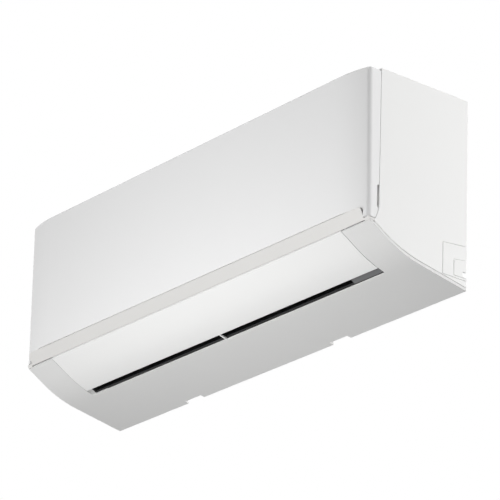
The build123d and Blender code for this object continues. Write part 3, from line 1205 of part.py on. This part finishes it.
BOARD_X = BOX_LEFT + BOX_WALL + FIT
with BuildPart() as control_board:
    block(BOARD_X, BOARD_X + 1.6, BOX_BACK + 8, BOX_FRONT - 16, BOX_LOW + 40, BOX_HIGH - 12)
    face = BOARD_X + 1.6
    block(face - 0.2, face + 22, BOX_BACK + 20, BOX_BACK + 48, BOX_HIGH - 106, BOX_HIGH - 78)
    block(face - 0.2, face + 15, BOX_BACK + 60, BOX_BACK + 80, BOX_HIGH - 66, BOX_HIGH - 50)
    block(face - 0.2, face + 9, BOX_FRONT - 40, BOX_FRONT - 24, BOX_LOW + 50, BOX_LOW + 84)
    for back in (BOX_BACK + 24, BOX_BACK + 44):
        with BuildSketch(side_plane(face - 0.2)) as cans:
            with Locations((-back, BOX_HIGH - 28)):
                Circle(8)
        extrude(cans.sketch, amount=24)
save(control_board, "control_board")

with BuildPart() as control_box_cover:
    lip = BOX_FRONT + FIT
    block(BOX_LEFT, BOX_RIGHT, lip, lip + BOX_WALL, BOX_LOW, BOX_HIGH)
    for up in range(7):
        block(BOX_LEFT + 12, BOX_RIGHT - 12, lip - 1, lip + BOX_WALL + 1, BOX_HIGH - 30 - 7 * up,
              BOX_HIGH - 27 - 7 * up, mode=Mode.SUBTRACT)
save(control_box_cover, "control_box_cover")

TERMINAL_WAYS = 5
TERMINAL_PITCH = 9.0
TERMINAL_LEFT = BOX_LEFT + BOX_WALL + FIT + 2
with BuildPart() as terminal_block:
    block(TERMINAL_LEFT, TERMINAL_LEFT + TERMINAL_WAYS * TERMINAL_PITCH, BOX_FRONT - 34, BOX_FRONT - 14,
          BOX_LOW + BOX_WALL + FIT, BOX_LOW + 26)
    for way in range(TERMINAL_WAYS):
        x = TERMINAL_LEFT + (way + 0.5) * TERMINAL_PITCH
        block(x - 3.3, x + 3.3, BOX_FRONT - 24, BOX_FRONT - 13, BOX_LOW + 6, BOX_LOW + 22, mode=Mode.SUBTRACT)
save(terminal_block, "terminal_block")

with BuildPart() as terminal_screws:
    for way in range(TERMINAL_WAYS):
        x = TERMINAL_LEFT + (way + 0.5) * TERMINAL_PITCH
        with BuildSketch(front_plane(BOX_FRONT - 24 + FIT)) as head:
            with Locations((x, BOX_LOW + 14)):
                Circle(3.0)
        extrude(head.sketch, amount=2.6)
        with BuildSketch(front_plane(BOX_FRONT - 24 + FIT + 2.6)) as drive:
            with Locations((x, BOX_LOW + 14)):
                Rectangle(4, 0.8)
        extrude(drive.sketch, amount=-1, mode=Mode.SUBTRACT)
save(terminal_screws, "terminal_screws")

DISPLAY_LEFT = BOX_LEFT - 54
with BuildPart() as display_board:
    seat = FRAME_BACK + FIT
    block(DISPLAY_LEFT, DISPLAY_LEFT + 40, seat + 3, seat + 4.6, BUTTON_UP + 18, BUTTON_UP + 44)
    for x in (DISPLAY_LEFT + 3, DISPLAY_LEFT + 37):
        for up in (BUTTON_UP + 21, BUTTON_UP + 41):
            with BuildSketch(front_plane(seat)) as post:
                with Locations((x, up)):
                    Circle(2)
            extrude(post.sketch, amount=3.2)
    block(DISPLAY_LEFT + 9, DISPLAY_LEFT + 31, seat + 4.4, seat + 7.4, BUTTON_UP + 25, BUTTON_UP + 39)
save(display_board, "display_board")

with BuildPart() as auto_button:
    with BuildSketch(front_plane(FRAME_REAR - BUTTON_TRAVEL)) as stem:
        with Locations((BUTTON_X, BUTTON_UP)):
            Circle(BUTTON_R)
    extrude(stem.sketch, amount=WALL + 2 * BUTTON_TRAVEL + 1.0)
    with BuildSketch(front_plane(FRAME_REAR - BUTTON_TRAVEL)) as collar:
        with Locations((BUTTON_X, BUTTON_UP)):
            Circle(BUTTON_R + 1.6)
    extrude(collar.sketch, amount=BUTTON_TRAVEL - FIT)
    fillet(auto_button.edges().filter_by(GeomType.CIRCLE).sort_by(Axis.Y)[0], radius=0.6)
save(auto_button, "auto_button")

with BuildPart() as room_sensor:
    sensor_x = WINDOW_RIGHT + WALL + FIT
    block(sensor_x, sensor_x + 7, FRAME_REAR - FIT - 5, FRAME_REAR - FIT, 176, 190)
    with Locations(Location(at(sensor_x + 3.5, (-FRAME_REAR + FIT + 2.5, 193)))):
        Cylinder(2, 8)
save(room_sensor, "room_sensor")
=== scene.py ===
"""Looks of a wall-mounted mini split indoor unit, in metres.

Finishes for every CAD node, fins in place of the solid coil packs, the outlet's grey blank, light,
floor and camera.
"""

from math import cos, pi, radians, sin

import bmesh
import bpy
from mathutils import Matrix, Vector


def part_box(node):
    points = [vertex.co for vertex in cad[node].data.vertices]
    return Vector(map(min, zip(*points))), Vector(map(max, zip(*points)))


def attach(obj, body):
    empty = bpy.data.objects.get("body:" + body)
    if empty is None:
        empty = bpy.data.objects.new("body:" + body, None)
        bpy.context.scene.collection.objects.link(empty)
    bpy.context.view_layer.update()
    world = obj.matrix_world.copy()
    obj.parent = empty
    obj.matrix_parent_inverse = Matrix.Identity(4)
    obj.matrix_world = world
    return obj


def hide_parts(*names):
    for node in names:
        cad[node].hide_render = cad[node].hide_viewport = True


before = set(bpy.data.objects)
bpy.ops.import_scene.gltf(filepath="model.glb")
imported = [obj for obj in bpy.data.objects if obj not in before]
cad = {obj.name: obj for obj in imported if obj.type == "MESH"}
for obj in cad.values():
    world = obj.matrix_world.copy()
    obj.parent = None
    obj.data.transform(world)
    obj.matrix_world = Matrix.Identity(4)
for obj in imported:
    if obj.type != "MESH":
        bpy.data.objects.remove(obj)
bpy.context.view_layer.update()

MM = 0.001
WHITE = "FFFFFF"
MIX_A, MIX_B, MIX_RESULT = 6, 7, 2  # colour sockets of a Mix node, whose names others share


# ---------------------------------------------------------------- materials

EDGE_RADIUS = 0.35 * MM  # moulded and folded edges catch light as if rounded
GRAIN_DEPTH = 0.1 * MM
DRIFT_SCALE = 14.0  # colour drifts over patches of about 70 mm


def linear(hex_colour):
    """Linear RGBA of an sRGB hex colour."""
    channels = [int(hex_colour[i:i + 2], 16) / 255 for i in (0, 2, 4)]
    return [c / 12.92 if c <= 0.04045 else ((c + 0.055) / 1.055) ** 2.4 for c in channels] + [1.0]


def add(tree, kind, links=None, **settings):
    """Adds a node: links maps its inputs to values or to other nodes' outputs."""
    made = tree.nodes.new(kind)
    for name, value in settings.items():
        setattr(made, name, value)
    for socket, value in (links or {}).items():
        if isinstance(value, bpy.types.NodeSocket):
            tree.links.new(value, made.inputs[socket])
        else:
            made.inputs[socket].default_value = value
    return made


def surface_of(tree):
    """The material's Principled shader."""
    return next(n for n in tree.nodes if n.type == "BSDF_PRINCIPLED")


def finish(name, colour, roughness, metallic=0.0, coat=0.0, coat_roughness=0.1, grain=0.8,
           bump=0.15, shade=0.04, uneven=0.08, stretch=(1, 1, 1), cells=False):
    """A base colour that drifts by shade, and a grain, sized in mm, in its gloss and relief."""
    made = bpy.data.materials.new(name)
    made.use_nodes = True
    tree = made.node_tree
    tree.nodes.clear()
    place = add(tree, "ShaderNodeTexCoord")
    scaled = add(tree, "ShaderNodeMapping", {"Vector": place.outputs["Object"], "Scale": stretch})
    drift = add(tree, "ShaderNodeTexNoise", {
        "Vector": place.outputs["Object"], "Scale": DRIFT_SCALE, "Detail": 3.0})
    pattern = "ShaderNodeTexVoronoi" if cells else "ShaderNodeTexNoise"
    fine = add(tree, pattern, {"Vector": scaled.outputs["Vector"], "Scale": 1 / (grain * MM)})
    if cells:
        grey = add(tree, "ShaderNodeRGBToBW", {"Color": fine.outputs["Color"]})
        fine_value = grey.outputs["Val"]
    else:
        fine_value = fine.outputs["Fac"]
    deeper = [c * (1 - shade) for c in linear(colour)[:3]] + [1.0]
    tint = add(tree, "ShaderNodeMix", {"Factor": drift.outputs["Fac"]}, data_type="RGBA")
    tint.inputs[MIX_A].default_value = linear(colour)
    tint.inputs[MIX_B].default_value = deeper
    rough = add(tree, "ShaderNodeMapRange", {
        "Value": fine_value, "To Min": roughness - uneven / 2, "To Max": roughness + uneven / 2})
    rounded = add(tree, "ShaderNodeBevel", {"Radius": EDGE_RADIUS}, samples=4)
    relief = add(tree, "ShaderNodeBump", {
        "Height": fine_value, "Distance": GRAIN_DEPTH, "Strength": bump,
        "Normal": rounded.outputs["Normal"]})
    surface = add(tree, "ShaderNodeBsdfPrincipled", {
        "Base Color": tint.outputs[MIX_RESULT], "Roughness": rough.outputs["Result"],
        "Metallic": metallic, "Coat Weight": coat, "Coat Roughness": coat_roughness,
        "Normal": relief.outputs["Normal"]})
    add(tree, "ShaderNodeOutputMaterial", {"Surface": surface.outputs["BSDF"]})
    return made


# ABS, moulded in a polished tool: even white with a soft gloss and a faint orange peel
gloss_abs = finish("gloss_abs_casing", "F1F1F0", 0.30, coat=0.15, grain=2.2, bump=0.05,
                   shade=0.015, uneven=0.04)
panel_abs = finish("gloss_abs_front_panel", "EFEFEF", 0.24, coat=0.3, coat_roughness=0.08,
                   grain=2.6, bump=0.04, shade=0.012, uneven=0.03)
# ABS, moulded in a finely etched tool: matt white with a fine grain that breaks up the highlight
etched_abs = finish("etched_abs_underside", "E8E8E7", 0.48, grain=0.9, bump=0.18, shade=0.02)
# The same ABS with a finer polish: satin, with a wide soft highlight along the curve
louver_abs = finish("satin_abs_louver", "F6F6F5", 0.36, grain=1.4, bump=0.10, shade=0.015)
# ABS with a sprayed silver coat: metallic, slightly grainy from the flakes
silver_paint = finish("silver_painted_trim", "DEDDDB", 0.44, metallic=0.85, coat=0.1, grain=0.8,
                      bump=0.10, shade=0.03, cells=True)
# High-impact polystyrene, dark and dull, with faint flow marks
dark_styrene = finish("dark_styrene_chassis", "2A2B2C", 0.62, grain=1.2, bump=0.2, shade=0.25)
# Expanded polystyrene pan with a moulded skin: pale grey, dry, a little pitted
pan_foam = finish("styrene_drain_pan", "B9BAB8", 0.6, grain=1.6, bump=0.25, shade=0.08)
# Polypropylene, moulded thin: black with a waxy sheen
vane_pp = finish("black_polypropylene_vanes", "161617", 0.42, grain=0.9, bump=0.12, shade=0.2)
# Glass-filled AS resin of the wheel: black with a dry sheen
wheel_resin = finish("glass_filled_fan_resin", "1B1C1E", 0.5, grain=0.7, bump=0.2, shade=0.25)
# Aluminium fin stock with a pale blue water-shedding coat
fin_stock = finish("coated_aluminium_fins", "D1DAE0", 0.46, metallic=0.35, grain=1.5, bump=0.1,
                   shade=0.12, stretch=(0.1, 1, 1))
# Hot-dip galvanised sheet: cells of zinc crystals a few millimetres across
zinc_sheet = finish("galvanised_sheet", "B4B8BA", 0.42, metallic=0.9, grain=6.0, bump=0.08,
                    shade=0.1, cells=True, uneven=0.2)
# Zinc-plated turned steel: cool and bright, with fine lines round the part
bright_steel = finish("zinc_plated_steel", "B9BBBD", 0.3, metallic=1.0, grain=0.4, bump=0.12,
                      shade=0.08, stretch=(8, 1, 1))
# Bulk moulding resin of the motor shell: grey with pale specks
motor_resin = finish("motor_moulding_resin", "9C9E9D", 0.55, grain=1.0, bump=0.3, shade=0.15,
                     cells=True)
# Copper tube, drawn: bright with browned patches
copper = finish("drawn_copper_tube", "C98A5E", 0.28, metallic=1.0, grain=0.9, bump=0.06, shade=0.3,
                stretch=(0.15, 1, 1))
# Machined brass: warm, with turning lines
brass = finish("machined_brass", "C6A55C", 0.3, metallic=1.0, grain=0.5, bump=0.12, shade=0.15,
               stretch=(6, 1, 1))
# Moulded rubber: black and dull, so it shows no clear highlight
rubber = finish("black_rubber", "171717", 0.75, grain=0.9, bump=0.3, shade=0.2)
# Flame-retardant ABS: warm grey, dull, a little coarser than the casing
box_abs = finish("flame_retardant_abs_box", "C9C9C4", 0.5, grain=1.1, bump=0.15, shade=0.05)
# Glass-filled nylon of terminal block and sensor: near black, slightly glossy
terminal_resin = finish("terminal_resin", "202124", 0.45, grain=0.8, bump=0.12, shade=0.15)
# ABS button: plain grey, so that it stands out from the white beside it
button_abs = finish("grey_abs_button", "9A9DA1", 0.4, grain=0.8, bump=0.1, shade=0.05)


TRACK_CELL = 30 * MM
THREAD_SPACING = 1.2 * MM


def solder_mask():
    """Board laminate under green solder mask, with paler copper tracks."""
    made = finish("green_solder_mask", "14492B", 0.32, coat=0.3, grain=1.0, bump=0.05, shade=0.2)
    tree = made.node_tree
    place = add(tree, "ShaderNodeTexCoord")
    bricks = add(tree, "ShaderNodeTexBrick", {
        "Vector": place.outputs["Object"], "Scale": 1 / TRACK_CELL, "Color1": linear("14492B"),
        "Color2": linear("1B5A36"), "Mortar": linear("2F7A4C"), "Mortar Size": 0.02})
    tree.links.new(bricks.outputs["Color"], surface_of(tree).inputs["Base Color"])
    return made


def filter_net():
    """Woven polypropylene net: pale threads over darker gaps."""
    made = finish("woven_filter_net", "56625C", 0.6, grain=1.0, bump=0.2, shade=0.1)
    tree = made.node_tree
    place = add(tree, "ShaderNodeTexCoord")
    threads = {"Vector": place.outputs["Object"], "Scale": 1 / THREAD_SPACING / pi}
    waves = [add(tree, "ShaderNodeTexWave", threads, bands_direction=direction)
             for direction in ("X", "Z")]
    weave = add(tree, "ShaderNodeMath", {0: waves[0].outputs["Fac"], 1: waves[1].outputs["Fac"]},
                operation="MAXIMUM")
    tint = add(tree, "ShaderNodeMix", {"Factor": weave.outputs["Value"]}, data_type="RGBA")
    tint.inputs[MIX_A].default_value = linear("262D2A")
    tint.inputs[MIX_B].default_value = linear("6C7A73")
    tree.links.new(tint.outputs[MIX_RESULT], surface_of(tree).inputs["Base Color"])
    return made


FINISHES = {
    gloss_abs: ["casing"],
    panel_abs: ["front_panel"],
    etched_abs: ["bottom_panel", "intake_grille", "screw_caps"],
    louver_abs: ["louver"],
    silver_paint: ["trim_strip"],
    dark_styrene: ["chassis", "motor_clamp", "pipe_clamps"],
    pan_foam: ["drain_pan"],
    vane_pp: [f"vane_{side}_{n}" for side in ("left", "right") for n in range(1, 7)]
             + ["link_bar_left", "link_bar_right"],
    wheel_resin: ["fan_wheel"],
    fin_stock: ["coil_front_lower", "coil_front_upper", "coil_rear"],
    zinc_sheet: ["mounting_plate", "coil_end_plate_left", "coil_end_plate_right"],
    bright_steel: ["fan_shaft", "fan_end_pin", "fan_grub_screw", "casing_screws", "terminal_screws",
                   "louver_motor_shaft", "louver_motor"],
    motor_resin: ["fan_motor"],
    copper: ["coil_hairpins", "coil_return_bends", "liquid_pipe", "gas_pipe", "pipe_sensor"],
    brass: ["liquid_flare_nut", "gas_flare_nut"],
    rubber: ["fan_bush", "drain_plug"],
    filter_net(): ["filter_left", "filter_right"],
    box_abs: ["control_box", "control_box_cover"],
    solder_mask(): ["control_board", "display_board"],
    terminal_resin: ["terminal_block", "room_sensor"],
    button_abs: ["auto_button"],
}
for material, names in FINISHES.items():
    for name in names:
        cad[name].data.materials.clear()
        cad[name].data.materials.append(material)


# ---------------------------------------------------------------- new pieces

def thicken(mesh, face, step):
    """Turns a face into a closed plate by growing it along step."""
    grown = bmesh.ops.extrude_face_region(mesh, geom=[face])["geom"]
    moved = [v for v in grown if isinstance(v, bmesh.types.BMVert)]
    bmesh.ops.translate(mesh, vec=step, verts=moved)
    bmesh.ops.recalc_face_normals(mesh, faces=mesh.faces)


def put(name, mesh, material):
    """Makes an object of a bmesh, at the origin, and frees the bmesh."""
    data = bpy.data.meshes.new(name)
    mesh.to_mesh(data)
    mesh.free()
    data.materials.append(material)
    made = bpy.data.objects.new(name, data)
    bpy.context.scene.collection.objects.link(made)
    return made


# ---------------------------------------------------------------- coil fins

FIN_PITCH = 1.5 * MM
FIN_THICKNESS = 0.5 * MM  # a slit fin is 0.1 mm sheet; its raised slits fill about this depth
END_TOLERANCE = 0.01 * MM


def fin_pack(name):
    """Thin aluminium fins, side by side, in place of a solid coil pack."""
    low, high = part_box(name)
    end = [v.co for v in cad[name].data.vertices if v.co.x < low.x + END_TOLERANCE]
    fin = bmesh.new()
    face = fin.faces.new([fin.verts.new(corner) for corner in (
        min(end, key=lambda p: p.z), min(end, key=lambda p: p.y),
        max(end, key=lambda p: p.z), max(end, key=lambda p: p.y))])
    thicken(fin, face, (FIN_THICKNESS, 0, 0))
    fins = put(name + "_fins", fin, fin_stock)
    row = fins.modifiers.new("fins", "ARRAY")
    row.use_relative_offset = False
    row.use_constant_offset = True
    row.constant_offset_displace = (FIN_PITCH, 0, 0)
    row.count = int((high.x - low.x - FIN_THICKNESS) / FIN_PITCH) + 1
    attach(fins, "unit")
    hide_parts(name)


for name in ("coil_front_lower", "coil_front_upper", "coil_rear"):
    fin_pack(name)


# ---------------------------------------------------------------- outlet blank

# A grey plate closes the slot beside the duct, in front of the louver motor
BLANK_LEFT, BLANK_RIGHT = 274.5 * MM, 340.0 * MM
BLANK_REAR = Vector((0, -98.0, 22.3 - 147.0)) * MM
BLANK_FRONT = Vector((0, -120.5, 34.4 - 147.0)) * MM
BLANK_DEPTH = Vector((0, -0.5, -0.9)) * MM
BLANK_EDGE = 0.25 * MM

# ABS in a finely etched tool: mid grey and matt, between the white underside and the dark slot
blank_abs = finish("etched_grey_abs_blank", "6A6B6C", 0.5, grain=0.9, bump=0.18, shade=0.05)
blank = bmesh.new()
ring = [blank.verts.new(edge + Vector((x, 0, 0))) for edge, x in (
    (BLANK_REAR, BLANK_LEFT), (BLANK_REAR, BLANK_RIGHT),
    (BLANK_FRONT, BLANK_RIGHT), (BLANK_FRONT, BLANK_LEFT))]
thicken(blank, blank.faces.new(ring), BLANK_DEPTH)
bmesh.ops.bevel(blank, geom=blank.edges[:], offset=BLANK_EDGE, segments=2, profile=0.5,
                affect="EDGES", material=-1)
outlet_blank = put("outlet_blank", blank, blank_abs)
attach(outlet_blank, "unit")


# ---------------------------------------------------------------- light, floor and camera

scene = bpy.context.scene
scene.view_settings.view_transform = "Standard"


def shown(tree):
    """1 for what the camera, a mirror or clear plastic shows, 0 for light that falls on the unit."""
    rays = add(tree, "ShaderNodeLightPath")
    value = rays.outputs["Is Camera Ray"]
    for kind in ("Is Glossy Ray", "Is Transmission Ray"):
        either = add(tree, "ShaderNodeMath", {0: value, 1: rays.outputs[kind]}, operation="MAXIMUM")
        value = either.outputs["Value"]
    return value


AMBIENT = 0.2
BACKDROP = 1.0
world = bpy.data.worlds.new("studio")
scene.world = world
world.use_nodes = True
tree = world.node_tree
tree.nodes.clear()
ambient = add(tree, "ShaderNodeBackground", {"Color": linear(WHITE), "Strength": AMBIENT})
backdrop = add(tree, "ShaderNodeBackground", {"Color": linear(WHITE), "Strength": BACKDROP})
blend = add(tree, "ShaderNodeMixShader", {0: shown(tree), 1: ambient.outputs["Background"],
                                          2: backdrop.outputs["Background"]})
add(tree, "ShaderNodeOutputWorld", {"Surface": blend.outputs["Shader"]})


LAMP_AIM = Vector((0, -0.1, 0))


def soft_box(name, place, size, power, in_gloss=True):
    """Square lamp that faces the unit. Out of gloss, it leaves no glare on the metal trim."""
    lamp = bpy.data.lights.new(name, "AREA")
    lamp.shape = "SQUARE"
    lamp.size = size
    lamp.energy = power
    made = bpy.data.objects.new(name, lamp)
    made.location = place
    made.rotation_euler = (LAMP_AIM - Vector(place)).to_track_quat("-Z", "Y").to_euler()
    made.visible_glossy = in_gloss
    scene.collection.objects.link(made)


# A broad, weak lamp at the front left. Two at the ends, set behind them so that the panel's rolled
# edge stays darker than its face. A near, low one, which fades from the louver towards the panel's
# top and the underside's rear edge. Two more for the top and back
soft_box("front_soft_box", (-2.0, -4.0, 0.2), 2.4, 15)
soft_box("right_soft_box", (3.4, 2.4, 0.3), 2.4, 160, in_gloss=False)
soft_box("low_soft_box", (0.05, -1.0, -0.6), 0.8, 9, in_gloss=False)
soft_box("top_soft_box", (0, -1.0, 3.0), 2.0, 28)
soft_box("left_soft_box", (-3.4, 2.4, 0.3), 2.4, 92, in_gloss=False)
soft_box("rear_soft_box", (-0.6, 4.0, 1.2), 2.4, 36)

FLOOR_DROP = 5.6  # lower than any camera that circles the unit
FLOOR_HALF = 30.0
FLOOR_GLOW = 0.78
# Matt white paint, lifted where it is seen, so that it stays pale without lighting the underside
floor_paint = finish("pale_studio_floor", "D2D2D2", 0.8, grain=3.0, bump=0.0, shade=0.01)
tree = floor_paint.node_tree
surface = surface_of(tree)
surface.inputs["Emission Color"].default_value = linear(WHITE)
lift = add(tree, "ShaderNodeMath", {0: shown(tree), 1: FLOOR_GLOW}, operation="MULTIPLY")
tree.links.new(lift.outputs["Value"], surface.inputs["Emission Strength"])
floor_mesh = bmesh.new()
bmesh.ops.create_grid(floor_mesh, x_segments=1, y_segments=1, size=FLOOR_HALF,
                      matrix=Matrix.Translation((0, -1.0, -FLOOR_DROP)))
put("floor", floor_mesh, floor_paint)

# Camera from the photograph: below and to the right, seen with a long lens
AZIMUTH, ELEVATION, ROLL = radians(51.508), radians(-22.767), radians(1.942)
DISTANCE = 5.305
TARGET = Vector((0.0103, -0.0802, 0.0125))
LENS = 256.8
back = Vector((sin(AZIMUTH) * cos(ELEVATION), -cos(AZIMUTH) * cos(ELEVATION), sin(ELEVATION)))
level = Vector((cos(AZIMUTH), sin(AZIMUTH), 0))
upright = back.cross(level)
right = level * cos(ROLL) + upright * sin(ROLL)
up = upright * cos(ROLL) - level * sin(ROLL)
camera_data = bpy.data.cameras.new("camera")
camera_data.lens = LENS
camera_data.sensor_width = 36
camera_data.clip_end = 50
camera = bpy.data.objects.new("camera", camera_data)
turn = Matrix((right, up, back)).transposed().to_4x4()
camera.matrix_world = Matrix.Translation(TARGET + back * DISTANCE) @ turn
scene.collection.objects.link(camera)
scene.camera = camera
